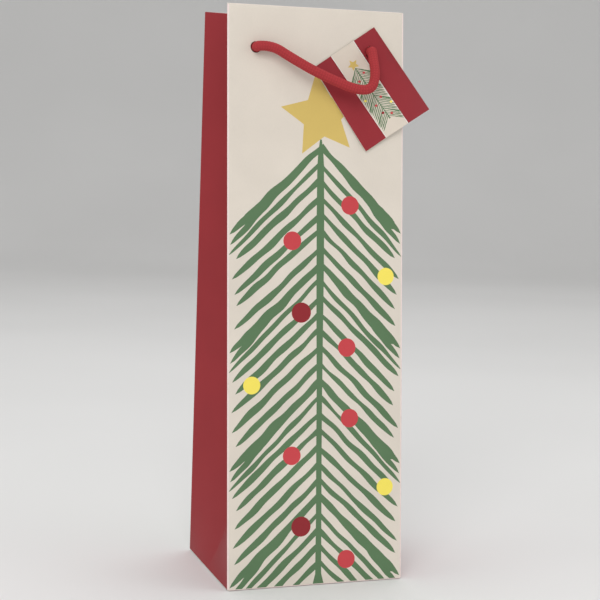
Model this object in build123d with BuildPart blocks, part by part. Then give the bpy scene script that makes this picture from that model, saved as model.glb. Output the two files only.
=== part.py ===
from build123d import *
import os
from math import asin, cos, pi, radians, sin, sqrt, tan

os.makedirs("parts", exist_ok=True)

# A bottle bag of folded paper with cord handles and a gift tag. X runs along the front,
# Y from front to back, Z up. The origin is the middle of the underside. Millimetres.

# Driving dimensions
PANEL_WIDTH = 115.0  # front and back panels
GUSSET_DEPTH = 100.0  # each side laid flat, and so the base from front to back
PANEL_HEIGHT = 360.0  # bottom fold to mouth, along the paper
WALL_LEAN = 21.6  # how far the mouth edge of each wall stands in over the base
PAPER = 0.4
CARD = 0.6
BOARD = 1.2
BOARD_SIZE = (110.0, 96.0)
BOARD_CORNER = 1.5
SHEET_GAP = 0.3  # between a wall and the edge of the gusset that folds beside it

HEM_DEPTH = 42.0  # paper turned in round the mouth
HEM_WIDTH = 107.0
CARD_SIZE = (104.0, 38.0)

CORD = 6.0
CORD_HOLE = 7.0
HOLE_X = (-39.5, 34.5)  # left and right cord hole on each wall
HOLE_DROP = 26.0  # from the mouth edge down to the cord holes
CORD_STANDOFF = 4.6  # from the wall out to the point where the handle turns
CORD_END_GAP = 0.9  # between the handle and the cord end that it turns on
KNOT_RADIUS = 4.8
TAIL_LENGTH = 9.0

TAG_SIZE = (48.0, 61.5)
TAG_THICKNESS = 0.5
TAG_TURN = 34.1  # degrees, hanging from its off-centre hole
TAG_HOLE = (13.0, 19.2)  # from the middle of the tag
TAG_STANDOFF = 0.6

# Worked out from those
LEAN_ANGLE = asin(WALL_LEAN / PANEL_HEIGHT)
WALL_FOOT = PAPER + 0.1  # walls start just above the flap that is folded under them
HOLE_HEIGHT = PANEL_HEIGHT - HOLE_DROP
HEM_MIDDLE = PANEL_HEIGHT - HEM_DEPTH / 2
WALL_STACK = 2 * PAPER + CARD  # panel, card and hem

# Each wall's plane is the outside face of its panel: x along it, y up it, z out of the bag.
FRONT = Plane(
    origin=(0, -GUSSET_DEPTH / 2, 0),
    x_dir=(1, 0, 0),
    z_dir=(0, -cos(LEAN_ANGLE), sin(LEAN_ANGLE)),
)
BACK = Plane(
    origin=(0, GUSSET_DEPTH / 2, 0),
    x_dir=(-1, 0, 0),
    z_dir=(0, cos(LEAN_ANGLE), sin(LEAN_ANGLE)),
)
WALLS = {"front": FRONT, "back": BACK}


def save(part, name):
    part.label = name
    export_step(part, f"parts/{name}.step")


def cord_holes():
    """Cuts the two cord holes from the sketch that is being drawn."""
    with Locations(*[(x, HOLE_HEIGHT) for x in HOLE_X]):
        Circle(CORD_HOLE / 2, mode=Mode.SUBTRACT)


# Front and back walls: panel, reinforcing card and the hem that covers the card
for wall, plane in WALLS.items():
    with BuildPart() as panel:
        with BuildSketch(plane):
            with Locations((0, (WALL_FOOT + PANEL_HEIGHT) / 2)):
                Rectangle(PANEL_WIDTH, PANEL_HEIGHT - WALL_FOOT)
            cord_holes()
        extrude(amount=-PAPER)
    save(panel.part, f"{wall}_panel")

    with BuildPart() as reinforcing_card:
        with BuildSketch(plane.offset(-PAPER)):
            with Locations((0, HEM_MIDDLE)):
                Rectangle(*CARD_SIZE)
            cord_holes()
        extrude(amount=-CARD)
    save(reinforcing_card.part, f"{wall}_reinforcing_card")

    with BuildPart() as hem:
        with BuildSketch(plane.offset(-PAPER - CARD)):
            with Locations((0, HEM_MIDDLE)):
                Rectangle(HEM_WIDTH, HEM_DEPTH)
            cord_holes()
        extrude(amount=-PAPER)
        with BuildSketch(plane.offset(-PAPER)):  # the turn-over along the mouth
            with Locations((0, PANEL_HEIGHT - PAPER / 2)):
                Rectangle(HEM_WIDTH, PAPER)
        extrude(amount=-CARD)
    save(hem.part, f"{wall}_hem")

# The glue flap of the side seam, inside the back panel between the base board and the hem
SEAM_WIDTH = 14.0
SEAM_MIDDLE_X = 47.0
SEAM_CLEARANCE = 2.0
SEAM_FOOT = 3 * PAPER + BOARD + SEAM_CLEARANCE
SEAM_TOP = PANEL_HEIGHT - HEM_DEPTH - SEAM_CLEARANCE
with BuildPart() as side_seam_flap:
    with BuildSketch(BACK.offset(-PAPER)):
        with Locations((SEAM_MIDDLE_X, (SEAM_FOOT + SEAM_TOP) / 2)):
            Rectangle(SEAM_WIDTH, SEAM_TOP - SEAM_FOOT)
    extrude(amount=-PAPER)
save(side_seam_flap.part, "side_seam_flap")

# Gussets: each side is two halves that meet in a crease, flat at the base and folded
# inwards towards the mouth, where the walls stand closer together than the paper is wide.
GUSSET_SHIFT = 0.6  # the paper's thickness as measured along X
GUSSET_FOOT = 3 * PAPER
MOUTH_HEIGHT = PANEL_HEIGHT * cos(LEAN_ANGLE)
FOLD_HEIGHTS = (GUSSET_FOOT, 46.0, 180.0, MOUTH_HEIGHT)
HEM_FOLD_HEIGHTS = (PANEL_HEIGHT - HEM_DEPTH + 1.0, MOUTH_HEIGHT)


def half_depth(height):
    """From the middle plane out to the outside of a wall, at a height."""
    return GUSSET_DEPTH / 2 - height * tan(LEAN_ANGLE)


def crease_inset(height):
    """How far the crease stands in from the side, for paper that keeps its width."""
    return sqrt(half_depth(GUSSET_FOOT) ** 2 - half_depth(height) ** 2)


def crease_line():
    """The crease's (fold height, inset, own height) at each of FOLD_HEIGHTS.

    The crease is as long as the folds beside the walls, so where it runs inwards it is lower."""
    line = [(GUSSET_FOOT, 0.0, GUSSET_FOOT)]
    for low, high in zip(FOLD_HEIGHTS, FOLD_HEIGHTS[1:]):
        run = (high - low) / cos(LEAN_ANGLE)
        sideways = crease_inset(high) - crease_inset(low)
        rise = sqrt(run**2 - sideways**2)
        line.append((high, crease_inset(high), line[-1][2] + rise))
    return line


def crease_at(height):
    """The crease's inset and own height, level with that height of the folds."""
    line = crease_line()
    for (low, inset_low, own_low), (high, inset_high, own_high) in zip(line, line[1:]):
        if height <= high:
            share = (height - low) / (high - low)
            inset = inset_low + share * (inset_high - inset_low)
            return inset, own_low + share * (own_high - own_low)
    return line[-1][1:]


def gusset_section(height, side, end, shift):
    """A thin face across half a gusset, from the fold beside a wall to the crease."""
    fold_y = half_depth(height) - (PAPER + SHEET_GAP) / cos(LEAN_ANGLE)
    fold = Vector(side * (PANEL_WIDTH / 2 - shift), end * fold_y, height)
    inset, own_height = crease_at(height)
    crease = Vector(side * (PANEL_WIDTH / 2 - inset - shift), 0, own_height)
    inward = Vector(-side * GUSSET_SHIFT, 0, 0)
    return Face(Wire.make_polygon([fold, crease, crease + inward, fold + inward], close=True))


for side, side_name in ((-1, "left"), (1, "right")):
    for end, end_name in ((-1, "front"), (1, "rear")):
        gusset_sections = [gusset_section(z, side, end, 0) for z in FOLD_HEIGHTS]
        with BuildPart() as gusset:
            loft(sections=gusset_sections, ruled=True)
        save(gusset.part, f"{side_name}_gusset_{end_name}")

        hem_sections = [gusset_section(z, side, end, GUSSET_SHIFT) for z in HEM_FOLD_HEIGHTS]
        with BuildPart() as gusset_hem:
            loft(sections=hem_sections, ruled=True)
        save(gusset_hem.part, f"{side_name}_hem_{end_name}")

# Bottom: two outer flaps that overlap, two dust flaps on them and the loose base board
FLAP_WIDTH = PANEL_WIDTH - 1.0
OVERLAP_FROM = -10.0
OVERLAP_TO = 15.0
OVERLAP_GAP = 0.1  # between the back flap's edge and the step in the front flap
with BuildPart() as bottom_front_flap:
    with BuildSketch(Plane.YZ.offset(-FLAP_WIDTH / 2)):
        with BuildLine():
            Polyline(
                (-GUSSET_DEPTH / 2, 0),
                (OVERLAP_FROM, 0),
                (OVERLAP_FROM, PAPER),
                (OVERLAP_TO, PAPER),
                (OVERLAP_TO, 2 * PAPER),
                (OVERLAP_FROM - PAPER, 2 * PAPER),
                (OVERLAP_FROM - PAPER, PAPER),
                (-GUSSET_DEPTH / 2, PAPER),
                close=True,
            )
        make_face()
    extrude(amount=FLAP_WIDTH)
save(bottom_front_flap.part, "bottom_front_flap")

with BuildPart() as bottom_back_flap:
    back_flap_depth = GUSSET_DEPTH / 2 - OVERLAP_FROM - OVERLAP_GAP
    with BuildSketch(Plane.XY):
        with Locations((0, GUSSET_DEPTH / 2 - back_flap_depth / 2)):
            Rectangle(FLAP_WIDTH, back_flap_depth)
    extrude(amount=PAPER)
save(bottom_back_flap.part, "bottom_back_flap")

DUST_FLAP_REACH = 45.0
DUST_FLAP_WIDTH = GUSSET_DEPTH - 4.0
DUST_FLAP_TAPER = 0.55  # drawn in at each side for every unit that the flap reaches
DUST_FLAP_GAP = 0.1  # between the flap and the gusset's fold
for side, side_name in ((-1, "left"), (1, "right")):
    with BuildPart() as dust_flap:
        with BuildSketch(Plane.XY.offset(2 * PAPER)):
            with BuildLine():
                outer_x = side * (PANEL_WIDTH / 2 - DUST_FLAP_GAP)
                inner_x = side * (PANEL_WIDTH / 2 - DUST_FLAP_REACH)
                inner_y = DUST_FLAP_WIDTH / 2 - DUST_FLAP_REACH * DUST_FLAP_TAPER
                Polyline(
                    (outer_x, -DUST_FLAP_WIDTH / 2),
                    (inner_x, -inner_y),
                    (inner_x, inner_y),
                    (outer_x, DUST_FLAP_WIDTH / 2),
                    close=True,
                )
            make_face()
        extrude(amount=PAPER)
    save(dust_flap.part, f"bottom_{side_name}_flap")

with BuildPart() as base_board:
    with BuildSketch(Plane.XY.offset(3 * PAPER)):
        RectangleRounded(*BOARD_SIZE, BOARD_CORNER)
    extrude(amount=BOARD)
save(base_board.part, "base_board")

# Cord ends: the knot inside the wall, its tail, and the cord through the hole
KNOT_GAP = 0.1  # between the knot and the hem
knot_depth = WALL_STACK + KNOT_GAP + KNOT_RADIUS
for wall, plane in WALLS.items():
    for hole_x, side_name in zip(HOLE_X, ("left", "right")):
        turning_point = plane.from_local_coords((hole_x, HOLE_HEIGHT, CORD_STANDOFF))
        knot_centre = plane.from_local_coords((hole_x, HOLE_HEIGHT, -knot_depth))
        with BuildPart() as cord_end:
            with BuildSketch(plane.offset(-knot_depth)):
                with Locations((hole_x, HOLE_HEIGHT)):
                    Circle(CORD / 2)
            extrude(amount=knot_depth + CORD_STANDOFF)
            with Locations(turning_point):
                Sphere(CORD / 2)
            with Locations(knot_centre):
                Sphere(KNOT_RADIUS)
            with BuildSketch(Plane(origin=knot_centre, z_dir=(0, 0, -1))):
                Circle(CORD / 2)
            extrude(amount=KNOT_RADIUS + TAIL_LENGTH)
        save(cord_end.part, f"{wall}_{side_name}_cord_end")

# Handle cords. The route is across the wall, up it, and out from it, from hole to hole.
CORD_ROUTE = [
    (-31.5, 335.0, 5.4),
    (-19.5, 327.4, 8.0),
    (-5.0, 319.2, 10.6),
    (9.0, 313.2, 12.2),
    (21.5, 308.6, 13.4),
    (31.0, 309.2, 13.8),
    (34.2, 318.0, 12.0),
    (34.4, 326.6, 8.4),
]


CORNER_SHARE = 0.45  # of the shorter run beside a corner that its arc takes up


def cord_route():
    """The route with its two ends, each just clear of the cord end that it turns on."""
    ends = [Vector(x, HOLE_HEIGHT, CORD_STANDOFF) for x in HOLE_X]
    middle = [Vector(*point) for point in CORD_ROUTE]
    reach = CORD / 2 + CORD_END_GAP
    start = ends[0] + (middle[0] - ends[0]).normalized() * reach
    finish = ends[1] + (middle[-1] - ends[1]).normalized() * reach
    return [start, *middle, finish]


def arc_radii(points):
    """One radius for each corner, as large as its two runs allow."""
    radii = []
    for before, corner, after in zip(points, points[1:], points[2:]):
        run_in = corner - before
        run_out = after - corner
        turn = radians(run_in.get_angle(run_out))
        shorter = min(run_in.length, run_out.length)
        radii.append(CORNER_SHARE * shorter / tan(turn / 2))
    return radii


for wall, plane in WALLS.items():
    route = cord_route()
    radii = arc_radii(route)
    places = [plane.from_local_coords(point) for point in route]
    with BuildPart() as handle_cord:
        with BuildLine() as cord_line:
            FilletPolyline(*places, radius=radii)
        with BuildSketch(Plane(origin=cord_line.line @ 0, z_dir=cord_line.line % 0)):
            Circle(CORD / 2)
        sweep()
    save(handle_cord.part, f"{wall}_handle_cord")
    length = sum(edge.length for edge in cord_line.edges())
    expected = pi * (CORD / 2) ** 2 * length
    print(f"{wall} cord {length:.1f} long, volume {handle_cord.part.volume:.0f} of {expected:.0f}")
    print("radii", [round(radius, 1) for radius in radii])

# Gift tag: a card that hangs by an off-centre hole from the cord at the right hole
with BuildPart() as gift_tag:
    with BuildSketch(FRONT.offset(TAG_STANDOFF)):
        with Locations((HOLE_X[1], HOLE_HEIGHT)):
            with Locations(Location((0, 0, 0), (0, 0, TAG_TURN))):
                with Locations((-TAG_HOLE[0], -TAG_HOLE[1])):
                    Rectangle(*TAG_SIZE)
            Circle(CORD_HOLE / 2, mode=Mode.SUBTRACT)
    extrude(amount=TAG_THICKNESS)
save(gift_tag.part, "gift_tag")
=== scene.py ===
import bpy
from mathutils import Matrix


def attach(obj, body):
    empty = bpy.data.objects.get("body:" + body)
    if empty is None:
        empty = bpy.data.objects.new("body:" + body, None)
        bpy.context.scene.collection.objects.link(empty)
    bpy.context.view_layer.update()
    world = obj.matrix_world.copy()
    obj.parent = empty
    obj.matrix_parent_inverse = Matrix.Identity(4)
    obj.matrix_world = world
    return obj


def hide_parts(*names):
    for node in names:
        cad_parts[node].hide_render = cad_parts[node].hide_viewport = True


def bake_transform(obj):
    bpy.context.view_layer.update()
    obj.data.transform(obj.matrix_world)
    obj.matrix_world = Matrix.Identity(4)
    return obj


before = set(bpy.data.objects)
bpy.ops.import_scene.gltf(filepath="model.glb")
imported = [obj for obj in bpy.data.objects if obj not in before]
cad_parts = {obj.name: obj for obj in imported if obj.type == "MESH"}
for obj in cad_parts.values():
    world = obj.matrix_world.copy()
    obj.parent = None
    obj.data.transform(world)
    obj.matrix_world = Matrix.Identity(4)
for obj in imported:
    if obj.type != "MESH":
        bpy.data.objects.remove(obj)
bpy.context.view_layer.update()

import math
import random

import bmesh
import bpy
from mathutils import Matrix, Vector, noise
from mathutils.geometry import delaunay_2d_cdt

# A paper bottle bag with cord handles and a gift tag. Lengths in this script are millimetres.
# wall_point() and the place() functions turn them into metres, and so does MM.
MM = 0.001

PANEL_WIDTH = 115.0
GUSSET_DEPTH = 100.0
PANEL_HEIGHT = 360.0
LEAN = math.asin(21.6 / PANEL_HEIGHT)
PAPER = 0.4
SHEET_GAP = 0.3
HEM_DEPTH = 42.0
FOLD = 0.7  # outer radius of the folds
CORD = 6.0  # diameter
HOLE = 3.5  # radius
HOLE_X = (-39.5, 34.5)
HOLE_HEIGHT = 334.0
STANDOFF = 4.6  # from a wall out to the middle of the cord beside its hole
BODY_OF_WALL = {"front": "front_wall", "back": "back_wall"}


def wall_point(wall, x, w, n):
    """x along a wall, w up it and n out of it, from the middle of its foot."""
    y = -GUSSET_DEPTH / 2 + w * math.sin(LEAN) - n * math.cos(LEAN)
    z = w * math.cos(LEAN) + n * math.sin(LEAN)
    point = Vector((x, y, z)) * MM
    if wall == "back":
        point = Vector((-point.x, -point.y, point.z))
    return point


def smooth(t):
    t = min(max(t, 0.0), 1.0)
    return t * t * (3 - 2 * t)


# ---------------------------------------------------------------- materials


def srgb(red, green, blue):
    """The linear colour of an sRGB one in 0..255."""
    def linear(value):
        value /= 255
        return value / 12.92 if value <= 0.04045 else ((value + 0.055) / 1.055) ** 2.4
    return (linear(red), linear(green), linear(blue), 1.0)


def shade(colour, amount):
    return tuple(min(1.0, max(0.0, part * amount)) for part in colour[:3]) + (1.0,)


class Nodes:
    """A material's node tree, with short calls for the few kinds of node used here."""

    def __init__(self, name, roughness, specular=0.2):
        self.material = bpy.data.materials.new(name)
        self.material.use_nodes = True
        self.tree = self.material.node_tree
        self.shader = self.tree.nodes["Principled BSDF"]
        self.shader.inputs["Roughness"].default_value = roughness
        self.shader.inputs["Specular IOR Level"].default_value = specular
        self.coordinates = self.add("ShaderNodeTexCoord").outputs["Object"]

    def add(self, kind, **settings):
        node = self.tree.nodes.new(kind)
        for key, value in settings.items():
            setattr(node, key, value)
        return node

    def join(self, source, target):
        self.tree.links.new(source, target)

    def noise(self, scale, detail=2.0, stretch=None, distortion=0.0):
        source = self.coordinates
        if stretch is not None:
            mapping = self.add("ShaderNodeMapping")
            mapping.inputs["Scale"].default_value = stretch
            self.join(source, mapping.inputs["Vector"])
            source = mapping.outputs["Vector"]
        node = self.add("ShaderNodeTexNoise")
        node.inputs["Scale"].default_value = scale
        node.inputs["Detail"].default_value = detail
        node.inputs["Distortion"].default_value = distortion
        self.join(source, node.inputs["Vector"])
        return node.outputs["Fac"]

    def mix(self, *parts):
        """The sum of some outputs, each times its share."""
        total = None
        for output, share in parts:
            scaled = self.maths("MULTIPLY", output, share)
            total = scaled if total is None else self.maths("ADD", total, scaled)
        return total

    def maths(self, operation, first, second):
        node = self.add("ShaderNodeMath", operation=operation)
        for socket, value in zip(node.inputs, (first, second)):
            if isinstance(value, float):
                socket.default_value = value
            else:
                self.join(value, socket)
        return node.outputs["Value"]

    def ramp(self, factor, stops):
        node = self.add("ShaderNodeValToRGB")
        elements = node.color_ramp.elements
        while len(elements) < len(stops):
            elements.new(0.5)
        for element, (position, colour) in zip(elements, stops):
            element.position = position
            element.color = colour
        self.join(factor, node.inputs["Fac"])
        return node.outputs["Color"]

    def colour(self, output):
        self.join(output, self.shader.inputs["Base Color"])

    def rough(self, factor, low, high):
        node = self.add("ShaderNodeMapRange")
        node.inputs["To Min"].default_value = low
        node.inputs["To Max"].default_value = high
        self.join(factor, node.inputs["Value"])
        self.join(node.outputs["Result"], self.shader.inputs["Roughness"])

    def bump(self, height, distance, strength):
        node = self.add("ShaderNodeBump")
        node.inputs["Distance"].default_value = distance
        node.inputs["Strength"].default_value = strength
        self.join(height, node.inputs["Height"])
        self.join(node.outputs["Normal"], self.shader.inputs["Normal"])


PAPER_FLECK = 0.02  # how far the fibres lighten or darken any paper
PAPER_RELIEF = 0.04 * MM


def paper(name, colour, spread=0.035, rough=(0.42, 0.56), grain=1.0):
    """Coated paper: even ink with a faint cloud, a fine tooth and the fibres under it."""
    nodes = Nodes(name, rough[0])
    cloud = nodes.noise(26.0, 3.0)
    tooth = nodes.noise(2600.0, 2.0)
    fibres = nodes.noise(1500.0, 3.0, stretch=(1.0, 1.0, 0.6), distortion=1.2)
    dark = shade(colour, 1 - spread - PAPER_FLECK)
    light = shade(colour, 1 + spread + PAPER_FLECK)
    mixed = nodes.mix((cloud, 0.75), (fibres, 0.25))
    nodes.colour(nodes.ramp(mixed, [(0.3, dark), (0.5, colour), (0.7, light)]))
    nodes.rough(fibres, *rough)
    nodes.bump(nodes.mix((tooth, 0.35), (fibres, 0.65)), PAPER_RELIEF * grain, 0.6)
    return nodes.material


def fold_highlight_and_wear(name, colour, pale_highlight_and_core, amount):
    """The printed paper along a fold, painted lighter: partly a painted highlight along the fold, partly
    where the ink has cracked and the paler core shows.
    """
    nodes = Nodes(name, 0.6, 0.25)
    cracks = nodes.noise(700.0, 4.0, stretch=(1.0, 1.0, 0.35), distortion=1.2)
    patches = nodes.noise(45.0, 2.0)
    low = 0.62 - 0.35 * amount
    stops = [(low - 0.08, colour), (low + 0.05, shade(pale_highlight_and_core, 0.93)), (low + 0.25, pale_highlight_and_core)]
    nodes.colour(nodes.ramp(nodes.mix((cracks, 0.7), (patches, 0.3)), stops))
    nodes.bump(cracks, 0.06 * MM, 0.7)
    return nodes.material


def card_material(name, colour):
    """Grey board: short fibres and specks of the waste paper that it is made of."""
    nodes = Nodes(name, 0.85, 0.2)
    fibres = nodes.noise(420.0, 5.0, stretch=(1.0, 0.4, 1.0), distortion=1.5)
    specks = nodes.noise(1300.0, 1.0)
    base = nodes.ramp(fibres, [(0.25, shade(colour, 0.8)), (0.55, colour), (0.8, shade(colour, 1.18))])
    mask = nodes.ramp(specks, [(0.66, (0, 0, 0, 1)), (0.74, (1, 1, 1, 1))])
    mix = nodes.add("ShaderNodeMix", data_type="RGBA")
    nodes.join(mask, mix.inputs["Factor"])
    nodes.join(base, mix.inputs["A"])
    mix.inputs["B"].default_value = shade(colour, 0.55)
    nodes.colour(mix.outputs["Result"])
    nodes.bump(fibres, 0.1 * MM, 0.6)
    return nodes.material


def cord_material(name, colour):
    """Knitted cord: matt yarn with a soft halo, painted darker down between the stitches as shade and lighter
    on their tops as highlight.
    """
    nodes = Nodes(name, 0.85, 0.2)
    nodes.shader.inputs["Sheen Weight"].default_value = 0.25
    nodes.shader.inputs["Sheen Roughness"].default_value = 0.45
    nodes.shader.inputs["Sheen Tint"].default_value = shade(colour, 2.2)
    relief = nodes.add("ShaderNodeAttribute", attribute_name="relief").outputs["Fac"]
    fuzz = nodes.noise(2400.0, 3.0, distortion=0.8)
    patches = nodes.noise(160.0, 2.0)
    # the knit's height paints shade into the hollows and highlight on the stitch tops, with random fuzz and
    # patches
    mixed = nodes.mix((relief, 0.5), (fuzz, 0.35), (patches, 0.15))
    nodes.colour(nodes.ramp(mixed, [(0.12, shade(colour, 0.72)), (0.45, colour), (0.8, shade(colour, 1.16))]))
    nodes.bump(fuzz, 0.12 * MM, 0.7)
    return nodes.material


BEIGE = srgb(221, 212, 200)
RED = srgb(146, 52, 57)
WHITE = srgb(240, 238, 234)

INKS = {
    "paper": paper("printed_paper", BEIGE),
    "green": paper("green_ink", srgb(92, 122, 88), spread=0.05, rough=(0.4, 0.52)),
    "gold": paper("gold_ink", srgb(212, 185, 106), spread=0.03, rough=(0.38, 0.5)),
    "red": paper("red_ink", srgb(199, 70, 76), spread=0.03, rough=(0.38, 0.5)),
    "dark": paper("dark_red_ink", srgb(144, 43, 49), spread=0.04, rough=(0.38, 0.5)),
    "yellow": paper("yellow_ink", srgb(248, 230, 101), spread=0.02, rough=(0.38, 0.5)),
    # The fold inks paint the folds lighter: partly painted highlight, partly cracked ink showing the paler
    # core.
    "fold": fold_highlight_and_wear("fold_highlight_and_wear", srgb(222, 200, 192), srgb(240, 222, 218), 0.8),
    "red_fold": fold_highlight_and_wear("red_fold_highlight_and_wear", RED, srgb(186, 108, 108), -0.1),
    "back": paper("white_paper", WHITE, spread=0.02, rough=(0.75, 0.9), grain=1.8),
    "edge": paper("paper_edge", srgb(236, 230, 222), spread=0.03, rough=(0.8, 0.95), grain=2.0),
    "red_paper": paper("red_paper", srgb(149, 47, 52), spread=0.04, rough=(0.5, 0.62)),
    "tag_red": paper("tag_red_ink", srgb(148, 46, 53), spread=0.04, rough=(0.36, 0.48)),
    "tag_paper": paper("tag_paper", srgb(219, 208, 194), spread=0.02, rough=(0.36, 0.48)),
}
GREY_CARD = card_material("grey_card", srgb(176, 168, 156))
CORD_YARN = cord_material("red_cord", srgb(166, 54, 58))


# ---------------------------------------------------------------- meshes


SHARP_ANGLE = math.radians(38)


def finish_mesh(mesh):
    mesh.validate()
    mesh.shade_smooth()
    mesh.set_sharp_from_angle(angle=SHARP_ANGLE)
    mesh.update()


def new_object(name, mesh):
    piece = bpy.data.objects.new(name, mesh)
    bpy.context.scene.collection.objects.link(piece)
    return piece


def counter_clockwise(loop):
    area = sum(a[0] * b[1] - b[0] * a[1] for a, b in zip(loop, loop[1:] + loop[:1]))
    return loop if area > 0 else loop[::-1]


def circle(x, y, radius, steps=36):
    turns = [2 * math.pi * step / steps for step in range(steps)]
    return [(x + radius * math.cos(turn), y + radius * math.sin(turn)) for turn in turns]


def rectangle(low_x, low_y, high_x, high_y):
    return [(low_x, low_y), (high_x, low_y), (high_x, high_y), (low_x, high_y)]


GRID_JITTER = 0.12  # of a cell


def printed_sheet(name, border, shapes, holes, place, thickness, spacing, extra=()):
    """A sheet of paper with shapes printed on its outside, later ones over earlier ones.

    border is a rectangle, shapes are (ink, outline) in the flat sheet's millimetres, and
    extra points make the mesh finer where the sheet folds. place(x, y, depth) gives where
    a point of the sheet is, depth in from its outside."""
    points, loops = [], []
    drawn = [("paper", border)] + list(shapes) + [(None, hole) for hole in holes]
    for _, loop in drawn:
        first = len(points)
        points += [Vector(point) for point in counter_clockwise(list(loop))]
        loops.append(list(range(first, len(points))))
    low_x, low_y = border[0]
    high_x, high_y = border[2]
    draw = random.Random(name)
    columns = max(1, round((high_x - low_x) / spacing))
    rows = max(1, round((high_y - low_y) / spacing))
    for column in range(columns):
        for row in range(rows):
            x = low_x + (column + 0.5 + draw.uniform(-GRID_JITTER, GRID_JITTER)) * (high_x - low_x) / columns
            y = low_y + (row + 0.5 + draw.uniform(-GRID_JITTER, GRID_JITTER)) * (high_y - low_y) / rows
            points.append(Vector((x, y)))
    points += [Vector(point) for point in extra]
    flat, _, triangles, _, _, sources = delaunay_2d_cdt(points, [], loops, 1, 1e-4, True)
    kept, slots, names = [], [], []
    for triangle, source in zip(triangles, sources):
        ink = drawn[max(source)][0] if 0 in source else None
        if ink is None:
            continue
        if ink not in names:
            names.append(ink)
        kept.append(list(triangle))
        slots.append(names.index(ink))
    names += ["back", "edge"]
    count = len(flat)
    vertices = [place(x, y, 0.0) for x, y in flat] + [place(x, y, thickness) for x, y in flat]
    faces = list(kept)
    faces += [[index + count for index in reversed(triangle)] for triangle in kept]
    indices = slots + [len(names) - 2] * len(kept)
    directed = set()
    for triangle in kept:
        directed.update(zip(triangle, triangle[1:] + triangle[:1]))
    for a, b in sorted(directed):
        if (b, a) not in directed:
            faces.append([b, a, a + count, b + count])
            indices.append(len(names) - 1)
    mesh = bpy.data.meshes.new(name)
    mesh.from_pydata(vertices, [], faces)
    mesh.polygons.foreach_set("material_index", indices)
    for ink in names:
        mesh.materials.append(INKS[ink])
    cleaned = bmesh.new()
    cleaned.from_mesh(mesh)
    loose = [vertex for vertex in cleaned.verts if not vertex.link_faces]
    bmesh.ops.delete(cleaned, geom=loose, context="VERTS")
    cleaned.to_mesh(mesh)
    cleaned.free()
    finish_mesh(mesh)
    return new_object(name, mesh)


def grid_sheet(name, outside, inside, inks, ink_of_row=lambda row: 0):
    """A closed sheet between two grids of points, rows of equal length.

    inks are those of the outside, the inside and the edge, and any that ink_of_row gives
    some rows of the outside."""
    rows, columns = len(outside), len(outside[0])
    count = rows * columns
    vertices = [point for row in outside for point in row] + [point for row in inside for point in row]
    faces, indices = [], []
    for i in range(rows - 1):
        for j in range(columns - 1):
            a, b = i * columns + j, (i + 1) * columns + j
            faces.append([a, b, b + 1, a + 1])
            indices.append(ink_of_row(i))
            faces.append([a + count + 1, b + count + 1, b + count, a + count])
            indices.append(1)
    rim = list(range(columns))
    rim += [i * columns + columns - 1 for i in range(1, rows)]
    rim += [(rows - 1) * columns + j for j in range(columns - 2, -1, -1)]
    rim += [i * columns for i in range(rows - 2, 0, -1)]
    for a, b in zip(rim, rim[1:] + rim[:1]):
        faces.append([a, b, b + count, a + count])
        indices.append(2)
    mesh = bpy.data.meshes.new(name)
    mesh.from_pydata(vertices, [], faces)
    mesh.polygons.foreach_set("material_index", indices)
    for ink in inks:
        mesh.materials.append(INKS[ink])
    turned = bmesh.new()
    turned.from_mesh(mesh)
    bmesh.ops.recalc_face_normals(turned, faces=turned.faces)
    turned.to_mesh(mesh)
    turned.free()
    finish_mesh(mesh)
    return new_object(name, mesh)


# ---------------------------------------------------------------- the print


TRUNK_TOP = 278.7
BRANCHES = 26  # strokes on each side of the trunk
BRANCH_STEP = 10.4
TIER = 7  # each tier starts with a broad forked stroke, and a long thin one under it
STAR_MIDDLE = (3.0, 293.5)
DOTS = 11
DOT_TOP = 238.0
DOT_STEP = 22.3
DOT_REACHES = (22.0, 16.0, 46.0, 10.0, 20.0, 42.0)  # taken in turn, right and left by turns
DOT_INKS = ("red", "red", "yellow", "dark", "red", "yellow")
DOT_RADIUS = {"red": 5.8, "yellow": 5.5, "dark": 6.3}


def star(x, y, outer, inner, tilt):
    """A regular five-pointed star."""
    corners = []
    for number in range(10):
        radius = inner if number % 2 else outer
        turn = tilt + math.pi * number / 5
        corners.append((x + radius * math.sin(turn), y + radius * math.cos(turn)))
    return corners


WANDER = 0.22  # how far a stroke's middle strays


def stroke(draw, root, tip, width, root_share=0.7, fullest=0.66, waver=0.28, bend=0.5):
    """A brush stroke from its root out to a pointed tip, with slightly uneven edges.

    root_share is its width at the root as a share of the widest, and fullest is how far
    along it is widest, 0 to 1."""
    root, tip = Vector(root), Vector(tip)
    run = tip - root
    across = Vector((-run.y, run.x)).normalized()
    bow = draw.uniform(-bend, bend) * run.length / 70
    phases = [draw.uniform(0, 2 * math.pi) for _ in range(4)]
    counts = [draw.uniform(1.6, 2.6), draw.uniform(3.2, 4.8)]
    wave = (draw.uniform(2.0, 3.4), draw.uniform(0, 2 * math.pi))
    steps = max(10, round(run.length / 2.8))
    upper, lower = [], []
    for step in range(steps + 1):
        share = step / steps
        if share < fullest:
            swell = root_share + (1 - root_share) * smooth(share / fullest)
        else:
            swell = max(0.0, math.cos((share - fullest) / (1 - fullest) * math.pi / 2)) ** 0.5
        fade = min(1.0, 4 * (1 - share))
        wander = WANDER * min(1.0, width / 4) * math.sin(wave[0] * 2 * math.pi * share + wave[1]) * fade
        centre = root + run * share + across * (bow * math.sin(math.pi * share) + wander)
        for edge, sign, offset in ((upper, 1, 0), (lower, -1, 2)):
            uneven = waver * math.sin(counts[0] * 2 * math.pi * share + phases[offset])
            uneven += 0.5 * waver * math.sin(counts[1] * 2 * math.pi * share + phases[offset + 1])
            half = max(0.12, width / 2 * swell + uneven * fade)
            edge.append(centre + across * sign * half)
    outline = upper + [tip + run.normalized() * 0.3] + lower[::-1]
    return [(point.x, point.y) for point in outline]


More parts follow.
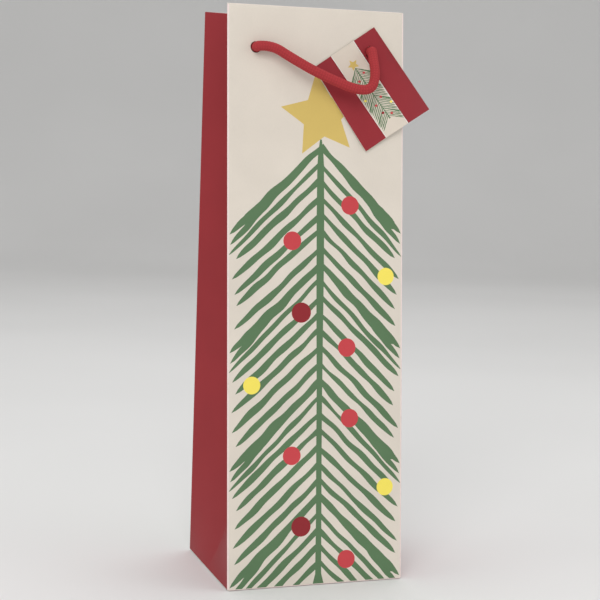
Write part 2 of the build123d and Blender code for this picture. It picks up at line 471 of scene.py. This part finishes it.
def forked_stroke(draw, root, tip, lower_tip, width, body):
    """A broad stroke whose end splits in two prongs past the body's share of the way."""
    up = Vector((0, 1))
    outlines = [stroke(draw, root, root.lerp(tip, body) - up * 1.6, width, 0.56, 0.93, 0.3, 0.3)]
    for end, rise, prong in ((tip, 0.2, 4.6), (lower_tip, 0.6, 4.0)):
        outlines.append(stroke(draw, root.lerp(end, 0.45) + up * rise, end, prong, 0.1, 0.6, 0.1, 0.2))
    return outlines


def trunk_x(height):
    """The trunk leans a little to the right."""
    return 1.4 + 1.2 * height / TRUNK_TOP


# Where the two sides' strokes differ: how steep and how broad they are, where they are
# broadest, and where the broad ones fork.
SIDES = ((-1, 0.93, 4.3, 0.74, 0.86), (1, 0.94, 3.7, 0.82, 0.92))
TRUNK_WIDTHS = [  # height and half width
    (-1.0, 4.4), (1.5, 3.4), (7.0, 2.0), (40.0, 1.8), (120.0, 1.8), (190.0, 2.4), (230.0, 2.5),
    (262.0, 2.2), (270.0, 1.7), (TRUNK_TOP, 0.6),
]


def tree():
    """A trunk with brush strokes that slope down to each side, in tiers."""
    draw = random.Random("tree")
    shapes = []
    for side, slope, breadth, fullest, fork in SIDES:
        for number in range(BRANCHES):
            height = TRUNK_TOP - 4.5 - number * BRANCH_STEP + draw.uniform(-0.9, 0.9)
            root = Vector((trunk_x(height), height))
            reach = draw.uniform(51, 55)
            tip = Vector((side * reach, height - reach * (slope + draw.uniform(-0.025, 0.025))))
            if number % TIER == 0:
                tip = Vector((side * 56, height - 54))
                lower_tip = tip - Vector((side * 0.4, 6.4))
                outlines = forked_stroke(draw, root, tip, lower_tip, 6.9, fork)
            elif number % TIER == 1:
                tip = Vector((side * 56.5, height - 57))
                outlines = [stroke(draw, root, tip, 3.2, 0.8)]
            else:
                width = breadth + draw.uniform(-0.3, 0.3)
                outlines = [stroke(draw, root, tip, width, 0.76, fullest, 0.25)]
            shapes += [("green", outline) for outline in outlines]
    left = [(trunk_x(height) - half, height) for height, half in TRUNK_WIDTHS]
    right = [(trunk_x(height) + half, height) for height, half in TRUNK_WIDTHS]
    shapes.append(("green", right + left[::-1]))
    return shapes


def panel_print():
    """A star, the tree over it, and dots over that."""
    shapes = [("gold", star(*STAR_MIDDLE, 27.0, 13.0, math.radians(-8)))] + tree()
    for number in range(DOTS):
        ink = DOT_INKS[number % len(DOT_INKS)]
        x = DOT_REACHES[number % len(DOT_REACHES)] * (1 if number % 2 == 0 else -1)
        shapes.append((ink, circle(x, DOT_TOP - DOT_STEP * number, DOT_RADIUS[ink])))
    return shapes


# ---------------------------------------------------------------- walls


SIDE_START = PANEL_WIDTH / 2 - FOLD  # where the fold beside the gusset begins
SHEET_HALF = SIDE_START + FOLD * math.pi / 2
PANEL_FOOT = 0.75  # the panel starts above the bottom fold
PANEL_TOP = PANEL_HEIGHT - FOLD
HOLES = [circle(x, HOLE_HEIGHT, HOLE) for x in HOLE_X]


def warp(wall, x, w):
    """How far the loose middle of a wall stands out or in."""
    inside = smooth((PANEL_WIDTH / 2 - abs(x)) / 26) * smooth(w / 45) * smooth((308 - w) / 60)
    seed = 3.0 if wall == "front" else 11.0  # the two walls are warped differently
    return 0.55 * inside * noise.noise(Vector((x / 48, w / 75, seed)))


def panel_place(wall):
    def place(x, w, depth):
        over = abs(x) - SIDE_START
        if over > 0:
            angle = over / FOLD
            radius = FOLD - depth
            x = math.copysign(SIDE_START + radius * math.sin(angle), x)
            return wall_point(wall, x, w, radius * math.cos(angle) - FOLD)
        return wall_point(wall, x, w, warp(wall, x, w) - depth)
    return place


def wall_panel(wall):
    """A printed panel, round the folds at its sides."""
    border = rectangle(-SHEET_HALF, PANEL_FOOT, SHEET_HALF, PANEL_TOP)
    shapes, extra = panel_print(), []
    for side in (-1, 1):
        # strips round the side folds take the fold ink: painted highlight along the fold, partly cracked ink
        strip = rectangle(side * (SIDE_START - 0.25), PANEL_FOOT - 1, side * (SHEET_HALF + 1), PANEL_TOP + 1)
        shapes.append(("fold", strip))
        for over in (0.0, 0.35, 0.6, 0.85):
            extra += [(side * (SIDE_START + over), PANEL_FOOT + 3.0 * k + 1.1) for k in range(119)]
    sheet = printed_sheet(f"{wall}_panel_sheet", border, shapes, HOLES, panel_place(wall), PAPER, 5.0, extra)
    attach(sheet, BODY_OF_WALL[wall])
    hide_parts(f"{wall}_panel")


HEM_HALF = 54.5  # half the hem's width
HEM_RUN = HEM_DEPTH - FOLD  # down the inside, below the turn-over
TURN = math.pi * FOLD  # along the paper, over the mouth


def hem_place(wall):
    """s runs along the paper, up over the mouth and down the inside."""
    def place(x, s, depth):
        along = min(max(s / TURN, 0.0), 1.0)
        x *= 1 + 0.05 * (1 - along)
        if s < TURN:
            radius = FOLD - depth
            angle = math.pi * along
            return wall_point(wall, x, PANEL_TOP + radius * math.sin(angle), radius * math.cos(angle) - FOLD)
        return wall_point(wall, x, PANEL_TOP - (s - TURN), -2 * FOLD + depth)
    return place


def wall_hem(wall):
    """The paper turned over the mouth and down the inside, over the card."""
    border = rectangle(-HEM_HALF, 0.0, HEM_HALF, TURN + HEM_RUN)
    hole_s = TURN + PANEL_TOP - HOLE_HEIGHT
    holes = [circle(x, hole_s, HOLE) for x in HOLE_X]
    # a strip over the turn at the mouth takes the fold ink: painted highlight along the fold, partly cracked
    # ink
    strip = [("fold", rectangle(-HEM_HALF - 1, 0.6, HEM_HALF + 1, 1.5))]
    over_turn = (0.25, 0.55, 0.85, 1.2, 1.7, 2.0)
    extra = [(-HEM_HALF + 3.0 * k + 1.0, over) for over in over_turn for k in range(36)]
    sheet = printed_sheet(f"{wall}_hem_sheet", border, strip, holes, hem_place(wall), PAPER, 6.0, extra)
    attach(sheet, BODY_OF_WALL[wall])
    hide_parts(f"{wall}_hem")


for wall in ("front", "back"):
    wall_panel(wall)
    wall_hem(wall)


SEAM_START, SEAM_WIDTH = 40.2, 13.6
GLUE = 0.02


def seam_flap():
    """The glued flap of the side seam, inside the back wall."""
    low, high = 4.5, PANEL_HEIGHT - HEM_DEPTH - 2.2
    rows = [low + (high - low) * k / 60 for k in range(61)]
    columns = [SEAM_START + SEAM_WIDTH * k / 6 for k in range(7)]

    def layer(depth):
        return [[wall_point("back", x, w, warp("back", x, w) - depth - GLUE) for x in columns] for w in rows]

    sheet = grid_sheet("side_seam_sheet", layer(2 * PAPER), layer(PAPER), ("back", "red_paper", "edge"))
    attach(sheet, "back_wall")
    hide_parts("side_seam_flap")


seam_flap()

# ---------------------------------------------------------------- gussets

MOUTH_HEIGHT = PANEL_HEIGHT * math.cos(LEAN)
GUSSET_BASE = 0.8  # height of the gussets' lower edge
GUSSET_PAPER = 0.5
HEM_OUTER, HEM_INNER = 1.1, 0.58  # depths of the hem's two faces behind the gusset's outside
CREASE_SOFTNESS = 0.035
TOP_ROUND = 0.5  # radius of the fold at the mouth


def half_depth(z):
    """Half of how far the walls are apart at a height."""
    return GUSSET_DEPTH / 2 - z * math.tan(LEAN)


def inset(z):
    """How far the crease stands in, from nothing at the foot."""
    if z <= 1.2:
        return 0.0
    full = math.sqrt(max(0.0, half_depth(1.2) ** 2 - half_depth(z) ** 2))
    return full * (1 - math.exp(-z / 12))


def gusset_point(side, end, share, z, depth):
    """share runs from 0 at the fold beside the wall to 1 at the crease."""
    fold_y = half_depth(z) - (PAPER + SHEET_GAP) / math.cos(LEAN)
    rest = 1 - share
    soft = CREASE_SOFTNESS
    valley = (math.hypot(1, soft) - math.hypot(rest, soft)) / (math.hypot(1, soft) - soft)
    bow = 0.9 * math.sin(math.pi * share) * smooth(z / 120) * (1 if end < 0 else 0.8)
    inward = inset(z) * valley + bow * (0.4 + 0.6 * noise.noise(Vector((share, z / 130, side + 3 * end))))
    drop = 4.0 * (1 - math.exp(-z / 34)) * share
    return Vector((side * (PANEL_WIDTH / 2 - inward - depth), end * fold_y * rest, z - drop)) * MM


def gusset_rows(low, high):
    """Heights from low up, closest where the foot bends."""
    rows, z = [], low
    while z < high - 3:
        rows.append(z)
        z += 0.7 if z < 4 else 1.8 if z < 14 else 5.0
    return rows


SHARES = [0.0, 0.03, 0.08, 0.15, 0.25, 0.37, 0.5, 0.62, 0.74, 0.84, 0.91, 0.95, 0.975, 0.99, 1.0]
TOP_TURNS = [math.pi / 2 * k / 4 for k in range(5)]


def side_sheet(side, end, node, low, outer_depth, inner_depth, inward):
    """Half of one side from low up to the mouth, whose top edge rounds inward (1) or outward (-1)."""
    top = MOUTH_HEIGHT - TOP_ROUND
    rows = gusset_rows(low, top)
    outer = [(z, outer_depth) for z in rows]
    for turn in TOP_TURNS:
        round_over = TOP_ROUND * (1 - math.cos(turn))
        outer.append((MOUTH_HEIGHT - TOP_ROUND * (1 - math.sin(turn)), outer_depth + inward * round_over))
    inner = [(z, inner_depth) for z in rows]
    inner += [(top - 0.02 * (4 - k), inner_depth + inward * 0.005 * k) for k in range(5)]
    outside, inside = (
        [[gusset_point(side, end, share, z, depth) for share in SHARES] for z, depth in face]
        for face in (outer, inner)
    )
    # the rounded mouth edge's rows take the red fold ink: painted highlight along the fold, partly cracked
    # ink
    fold_row = len(outer) - 3
    sheet = grid_sheet(
        f"{node}_sheet", outside, inside, ("red_paper", "back", "edge", "red_fold"),
        lambda row: 3 if row >= fold_row else 0,
    )
    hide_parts(node)
    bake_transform(sheet)


for side, side_name in ((-1, "left"), (1, "right")):
    for end, end_name in ((-1, "front"), (1, "rear")):
        side_sheet(side, end, f"{side_name}_gusset_{end_name}", GUSSET_BASE, 0.0, GUSSET_PAPER, 1)
        hem_low = MOUTH_HEIGHT - HEM_DEPTH + 1.5
        side_sheet(side, end, f"{side_name}_hem_{end_name}", hem_low, HEM_OUTER, HEM_INNER, -1)

# ---------------------------------------------------------------- bottom

FLAP_HALF = 57.0
FLAP_COLUMNS = [-FLAP_HALF + 2 * FLAP_HALF * k / 24 for k in range(25)]


def flap(name, node, sign, *paths):
    """A long bottom flap between two paths of (y, z), the one underneath and the one on top."""
    outside, inside = (
        [[Vector((x, sign * y, z)) * MM for x in FLAP_COLUMNS] for y, z in path] for path in paths
    )
    inks = ("paper", "back", "edge", "fold")
    # the rows round the bottom fold take the fold ink: painted highlight along the fold, partly cracked ink
    sheet = grid_sheet(name, outside, inside, inks, lambda row: 3 if row < 5 else 0)
    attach(sheet, "base")
    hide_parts(node)


def rounded_start(reach, radius, rise):
    """From the foot of a wall round the bottom fold to reach; y runs in from the fold, 0 at the middle."""
    centre_y = -GUSSET_DEPTH / 2 + PANEL_FOOT
    turns = [math.pi / 2 * k / 6 for k in range(7)]
    start = [(centre_y - radius * math.cos(turn), PANEL_FOOT - radius * math.sin(turn)) for turn in turns]
    return start + [(centre_y + (reach - centre_y) * k / 12, rise) for k in range(1, 13)]


# The front flap steps up over the edge of the back one.
STEP_UNDER = [(-9.9, 0.1), (-9.5, 0.3), (-9.1, 0.4), (0.0, 0.4), (8.0, 0.4), (15.0, 0.42)]
STEP_OVER = [(-10.3, 0.5), (-9.9, 0.7), (-9.5, 0.8), (0.0, 0.8), (8.0, 0.8), (15.0, 0.8)]
flap(
    "front_bottom_sheet", "bottom_front_flap", 1,
    rounded_start(-10.3, PANEL_FOOT, 0.0) + STEP_UNDER,
    rounded_start(-10.7, PANEL_FOOT - PAPER, PAPER) + STEP_OVER,
)
flap(
    "back_bottom_sheet", "bottom_back_flap", -1,
    rounded_start(9.9, PANEL_FOOT, 0.0),
    rounded_start(9.9, PANEL_FOOT - PAPER, PAPER),
)

# ---------------------------------------------------------------- cords


CORD_ROUTE = [  # along the wall, up it and out of it, between the two holes
    (-31.5, 335.0, 5.4),
    (-19.5, 327.4, 8.0),
    (-5.0, 319.2, 10.6),
    (9.0, 313.2, 12.2),
    (21.5, 308.6, 13.4),
    (31.0, 309.2, 13.8),
    (34.2, 318.0, 12.0),
    (34.4, 326.6, 8.4),
]


def route_line(points, detail):
    """The points of a smooth curve along a route."""
    curve = bpy.data.curves.new("route", "CURVE")
    curve.dimensions = "3D"
    spline = curve.splines.new("NURBS")
    spline.points.add(len(points) - 1)
    for target, point in zip(spline.points, points):
        target.co = (*point, 1.0)
    spline.order_u = 3
    spline.use_endpoint_u = True
    spline.resolution_u = detail
    holder = bpy.data.objects.new("route", curve)
    bpy.context.scene.collection.objects.link(holder)
    bpy.context.view_layer.update()
    mesh = bpy.data.meshes.new_from_object(holder)
    line = [vertex.co.copy() for vertex in mesh.vertices]
    bpy.data.objects.remove(holder)
    bpy.data.curves.remove(curve)
    bpy.data.meshes.remove(mesh)
    return line


STITCH = 1.7 * MM  # along the cord
WALES = 10  # columns of stitches round it
RELIEF = 0.1 * MM


def knit(along, around):
    """The height of the knitted surface, 0 to 1: columns of V-shaped stitches."""
    column = around * WALES
    across = column - math.floor(column)
    vee = abs(across - 0.5) * 2
    wave = 0.5 + 0.5 * math.cos(2 * math.pi * (along / STITCH + 0.45 * vee))
    groove = min(1.0, 2.4 * min(across, 1 - across) + 0.25)
    return wave ** 0.8 * groove


def tube_mesh(name, line, radii, ring=60, end_dome=True):
    """A knitted tube along a line, its end domed or cut flat, with its relief as an attribute."""
    tangents = []
    for index in range(len(line)):
        before, after = line[max(0, index - 1)], line[min(len(line) - 1, index + 1)]
        tangents.append((after - before).normalized())
    side = tangents[0].orthogonal().normalized()
    along = 0.0
    previous = tangents[0]
    frames = []
    for index, tangent in enumerate(tangents):
        turn = previous.rotation_difference(tangent)
        side = turn @ side
        side = (side - tangent * side.dot(tangent)).normalized()
        previous = tangent
        if index:
            along += (line[index] - line[index - 1]).length
        frames.append((line[index], tangent, side.copy(), radii[index], along))
    turns = [math.pi / 2 * k / 8 for k in range(1, 8)]

    def dome(start, sign, turn):
        centre, tangent, across, radius, reach = start
        centre = centre + sign * tangent * radius * math.sin(turn)
        return centre, tangent, across, radius * math.cos(turn), reach + sign * radius * turn, 0.6

    rings = [dome(frames[0], -1, turn) for turn in reversed(turns)]
    rings += [(*ordinary, 1.0) for ordinary in frames]
    if end_dome:
        rings += [dome(frames[-1], 1, turn) for turn in turns]
    vertices, heights, faces = [], [], []
    for centre, tangent, across, radius, reach, share in rings:
        other = tangent.cross(across)
        for step in range(ring):
            angle = 2 * math.pi * step / ring
            height = knit(reach, step / ring)
            out = radius + RELIEF * (height - 0.6) * share * min(1.0, radius / (1.5 * MM))
            vertices.append(centre + (across * math.cos(angle) + other * math.sin(angle)) * out)
            heights.append(height)
    for row in range(len(rings) - 1):
        low, high = row * ring, (row + 1) * ring
        for step in range(ring):
            after = (step + 1) % ring
            faces.append([low + step, low + after, high + after, high + step])
    for row, domed, direction in ((0, True, -1), (len(rings) - 1, end_dome, 1)):
        centre, tangent, _, radius, _, _ = rings[row]
        push = radius * 0.2 if domed else 0.25 * MM
        vertices.append(centre + tangent * direction * push)
        heights.append(0.5)
        tip = len(vertices) - 1
        for step in range(ring):
            after = (step + 1) % ring
            face = [row * ring + step, row * ring + after, tip]
            faces.append(face[::-1] if direction < 0 else face)
    mesh = bpy.data.meshes.new(name)
    mesh.from_pydata(vertices, [], faces)
    # the cord's material paints shade in the hollows and highlight on the stitch tops from these heights
    attribute = mesh.attributes.new("relief", "FLOAT", "POINT")
    attribute.data.foreach_set("value", heights)
    mesh.materials.append(CORD_YARN)
    mesh.validate()
    mesh.shade_smooth()
    return mesh


def joined(name, meshes):
    """One mesh from several."""
    whole = bmesh.new()
    for mesh in meshes:
        whole.from_mesh(mesh)
    result = bpy.data.meshes.new(name)
    whole.to_mesh(result)
    whole.free()
    result.materials.append(CORD_YARN)
    for mesh in meshes:
        bpy.data.meshes.remove(mesh)
    result.shade_smooth()
    return result


def handle_cord(wall):
    """One handle, from hole to hole."""
    ends = [(x, HOLE_HEIGHT, STANDOFF) for x in HOLE_X]
    route = [wall_point(wall, *point) for point in [ends[0], *CORD_ROUTE, ends[1]]]
    line = route_line(route, 40)
    length = sum((b - a).length for a, b in zip(line, line[1:]))
    name = f"{wall}_handle_braid"
    piece = new_object(name, tube_mesh(name, line, [CORD / 2 * MM] * len(line)))
    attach(piece, f"{wall}_handle")
    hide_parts(f"{wall}_handle_cord")
    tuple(route[0])
    print(f"{wall} handle cord {length / MM:.1f} mm")


KNOT_MIDDLE = -6.6  # out of the wall, so it's inside
KNOT_SIZE, KNOT_DEEP = 1.02, 1.75
KNOT_CORD, TAIL_CORD = 2.15, 2.35  # radii, as the cord is squeezed there


def cord_end(wall, x, side_name, twist):
    """The cord through its hole, the knot that stops it inside and the tail below."""
    def at(dx, dw, n):
        return wall_point(wall, x + dx, HOLE_HEIGHT + dw, n)

    middle = KNOT_MIDDLE
    stub = [at(0, 0, n) for n in (STANDOFF, 2.5, 0, -2.5)] + [at(0.3, 0.2, middle)]
    stub = route_line(stub, 8)
    shares = [k / (len(stub) - 1) for k in range(len(stub))]
    stub_radii = [CORD / 2 * MM * (1 - 0.22 * smooth(share * 1.6 - 0.5)) for share in shares]
    loops = []
    for k in range(97):  # a trefoil knot
        t = 2 * math.pi * k / 96
        u = math.sin(t) + 2 * math.sin(2 * t)
        v = math.cos(t) - 2 * math.cos(2 * t)
        depth = -math.sin(3 * t)
        turned = (u * math.cos(twist) - v * math.sin(twist), u * math.sin(twist) + v * math.cos(twist))
        loops.append(at(turned[0] * KNOT_SIZE, turned[1] * KNOT_SIZE, middle + KNOT_DEEP * depth))
    tail = [(0, 1.0, 0.0), (0.4, -3.0, 0.6), (0.9, -8.0, 0.9), (0.4, -13.6, 0.5)]
    tail = route_line([at(dx, dw, middle - deep) for dx, dw, deep in tail], 12)
    shares = [k / (len(tail) - 1) for k in range(len(tail))]
    tail_radii = [TAIL_CORD * MM * (1 + 0.14 * smooth(share * 2 - 1)) for share in shares]
    name = f"{wall}_{side_name}_knot"
    meshes = [
        tube_mesh(name, stub, stub_radii),
        tube_mesh(name, loops, [KNOT_CORD * MM] * len(loops), ring=26),
        tube_mesh(name, tail, tail_radii, ring=30, end_dome=False),
    ]
    piece = new_object(name, joined(name, meshes))
    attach(piece, BODY_OF_WALL[wall])
    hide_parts(f"{wall}_{side_name}_cord_end")


for wall in ("front", "back"):
    handle_cord(wall)
    for x, side_name, twist in zip(HOLE_X, ("left", "right"), (0.3, 1.9)):
        cord_end(wall, x, side_name, twist + (0.8 if wall == "back" else 0.0))

# ---------------------------------------------------------------- tag

TAG_TURN = math.radians(34.1)
TAG_HALF = (24.0, 30.75)
TAG_HOLE = (13.0, 19.2)
TAG_STANDOFF = 0.6
TAG_THICKNESS = 0.5
TAG_LIFT = 7.5  # how far its lower right corner has curled off the wall
BAND_LEFT = (-10.3, -7.9)  # the left band's inner edge, at the top and at the bottom
BAND_RIGHT = (7.3, 8.2)
RIM = 0.35  # unprinted line along the bands
TAG_ART_SCALE = 0.137
TAG_ART_TOP = 16.4  # the top of the trunk
TAG_ART_LEAN = 0.045


def tag_place(u, v, depth):
    """u across the tag and v up it, from its middle."""
    across, up = u - TAG_HOLE[0], v - TAG_HOLE[1]
    x = HOLE_X[1] + across * math.cos(TAG_TURN) - up * math.sin(TAG_TURN)
    w = HOLE_HEIGHT + across * math.sin(TAG_TURN) + up * math.cos(TAG_TURN)
    corner = (u + TAG_HALF[0]) / (2 * TAG_HALF[0]) * (TAG_HALF[1] - v) / (2 * TAG_HALF[1])
    curl = 0.35 * (v / TAG_HALF[1]) ** 2 * (1 if v < 0 else 0.2)
    curl += TAG_LIFT * (max(0.0, corner - 0.12) / 0.88) ** 1.25
    return wall_point("front", x, w, TAG_STANDOFF + TAG_THICKNESS + curl - depth)


def tag_print():
    """Red bands along the sides and the panel's own picture, smaller, between them."""
    width, height = TAG_HALF
    shapes = [("tag_paper", rectangle(-width, -height, width, height))]
    for side, (top, foot) in ((-1, BAND_LEFT), (1, BAND_RIGHT)):
        for ink, gap, end in (("back", 0.0, RIM), ("tag_red", RIM, width)):
            inner = [(foot + side * gap, -height), (top + side * gap, height)]
            outer = [(side * width, height), (side * width, -height)]
            if ink == "back":
                outer = [(top + side * end, height), (foot + side * end, -height)]
            shapes.append((ink, inner + outer))
    middle = (BAND_LEFT[0] + BAND_RIGHT[0]) / 2 + 0.4
    for ink, outline in panel_print():
        scaled = []
        for x, y in outline:
            v = TAG_ART_TOP + (y - TRUNK_TOP) * TAG_ART_SCALE
            lean = TAG_ART_LEAN * (TAG_ART_TOP - v)
            scaled.append((middle + lean + (x - trunk_x(0)) * TAG_ART_SCALE * 1.1, v))
        shapes.append((ink, scaled))
    return shapes


tag = printed_sheet(
    "tag_sheet", rectangle(-TAG_HALF[0], -TAG_HALF[1], *TAG_HALF), tag_print(),
    [circle(*TAG_HOLE, HOLE)], tag_place, TAG_THICKNESS, 3.0,
)
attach(tag, "tag")
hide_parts("gift_tag")


# ---------------------------------------------------------------- kept nodes


def coat(node, material):
    """Gives a CAD node that stays in view its material."""
    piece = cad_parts[node]
    piece.data.materials.clear()
    piece.data.materials.append(material)


for wall in ("front", "back"):
    coat(f"{wall}_reinforcing_card", GREY_CARD)
coat("base_board", GREY_CARD)
for side_name in ("left", "right"):
    coat(f"bottom_{side_name}_flap", INKS["red_paper"])

# ---------------------------------------------------------------- stage


def floor():
    """A pale floor that curves up all round, just under the bag."""
    flat, radius, level = 2.7, 1.6, -0.0003
    profile = [(0.15, level), (0.6, level), (flat, level)]
    profile += [
        (flat + radius * math.sin(turn), level + radius - radius * math.cos(turn))
        for turn in [math.pi / 2 * k / 16 for k in range(1, 17)]
    ]
    around = 72
    vertices = [(0.0, 0.0, level)]
    for reach, z in profile:
        for step in range(around):
            angle = 2 * math.pi * step / around
            vertices.append((reach * math.cos(angle), reach * math.sin(angle), z))
    faces = [[0, 1 + step, 1 + (step + 1) % around] for step in range(around)]
    for row in range(len(profile) - 1):
        low, high = 1 + row * around, 1 + (row + 1) * around
        for step in range(around):
            after = (step + 1) % around
            faces.append([low + step, high + step, high + after, low + after])
    mesh = bpy.data.meshes.new("studio_floor")
    mesh.from_pydata(vertices, [], faces)
    mesh.shade_smooth()
    nodes = Nodes("studio_paper", 0.9, 0.1)
    cloud = nodes.noise(1.5, 2.0)
    nodes.colour(nodes.ramp(cloud, [(0.3, (0.78, 0.78, 0.775, 1)), (0.7, (0.82, 0.82, 0.815, 1))]))
    mesh.materials.append(nodes.material)
    new_object("studio_floor", mesh)


floor()


def area_light(name, location, target, size, power):
    light = bpy.data.lights.new(name, "AREA")
    light.shape = "DISK"
    light.size = size
    light.energy = power
    lamp = bpy.data.objects.new(name, light)
    lamp.location = location
    lamp.rotation_euler = (Vector(target) - Vector(location)).to_track_quat("-Z", "Y").to_euler()
    bpy.context.scene.collection.objects.link(lamp)


BAG_MIDDLE = (0.0, 0.0, 0.18)  # metres, as the lights' places and the camera's are
area_light("key_light", (-0.9, -1.9, 1.5), BAG_MIDDLE, 1.6, 24)
area_light("fill_light", (1.9, -1.2, 0.9), BAG_MIDDLE, 1.8, 9)
area_light("top_light", (0.2, 0.6, 2.4), BAG_MIDDLE, 2.0, 18)
area_light("side_light", (-1.9, 0.1, 0.6), BAG_MIDDLE, 1.4, 5)

world = bpy.data.worlds.new("studio_air")
bpy.context.scene.world = world
world.use_nodes = True
world.node_tree.nodes["Background"].inputs["Color"].default_value = (1.0, 0.99, 0.98, 1.0)
world.node_tree.nodes["Background"].inputs["Strength"].default_value = 0.47
bpy.context.scene.view_settings.view_transform = "Standard"


def camera():
    """The camera fitted to the bag's corners."""
    yaw, pitch, roll = math.radians(17.97), math.radians(-5.18), math.radians(1.18)
    ahead = Vector((math.sin(yaw) * math.cos(pitch), math.cos(yaw) * math.cos(pitch), math.sin(pitch)))
    right = ahead.cross(Vector((0, 0, 1))).normalized()
    up = right.cross(ahead)
    tilted_right = right * math.cos(roll) + up * math.sin(roll)
    tilted_up = up * math.cos(roll) - right * math.sin(roll)
    data = bpy.data.cameras.new("camera")
    data.sensor_width = 36.0
    data.lens = 84.9
    data.clip_start, data.clip_end = 0.01, 50.0
    eye = bpy.data.objects.new("camera", data)
    bpy.context.scene.collection.objects.link(eye)
    eye.matrix_world = Matrix.Translation((-0.281, -0.872, 0.258)) @ Matrix(
        (tilted_right, tilted_up, -ahead)
    ).transposed().to_4x4()
    bpy.context.scene.camera = eye


camera()
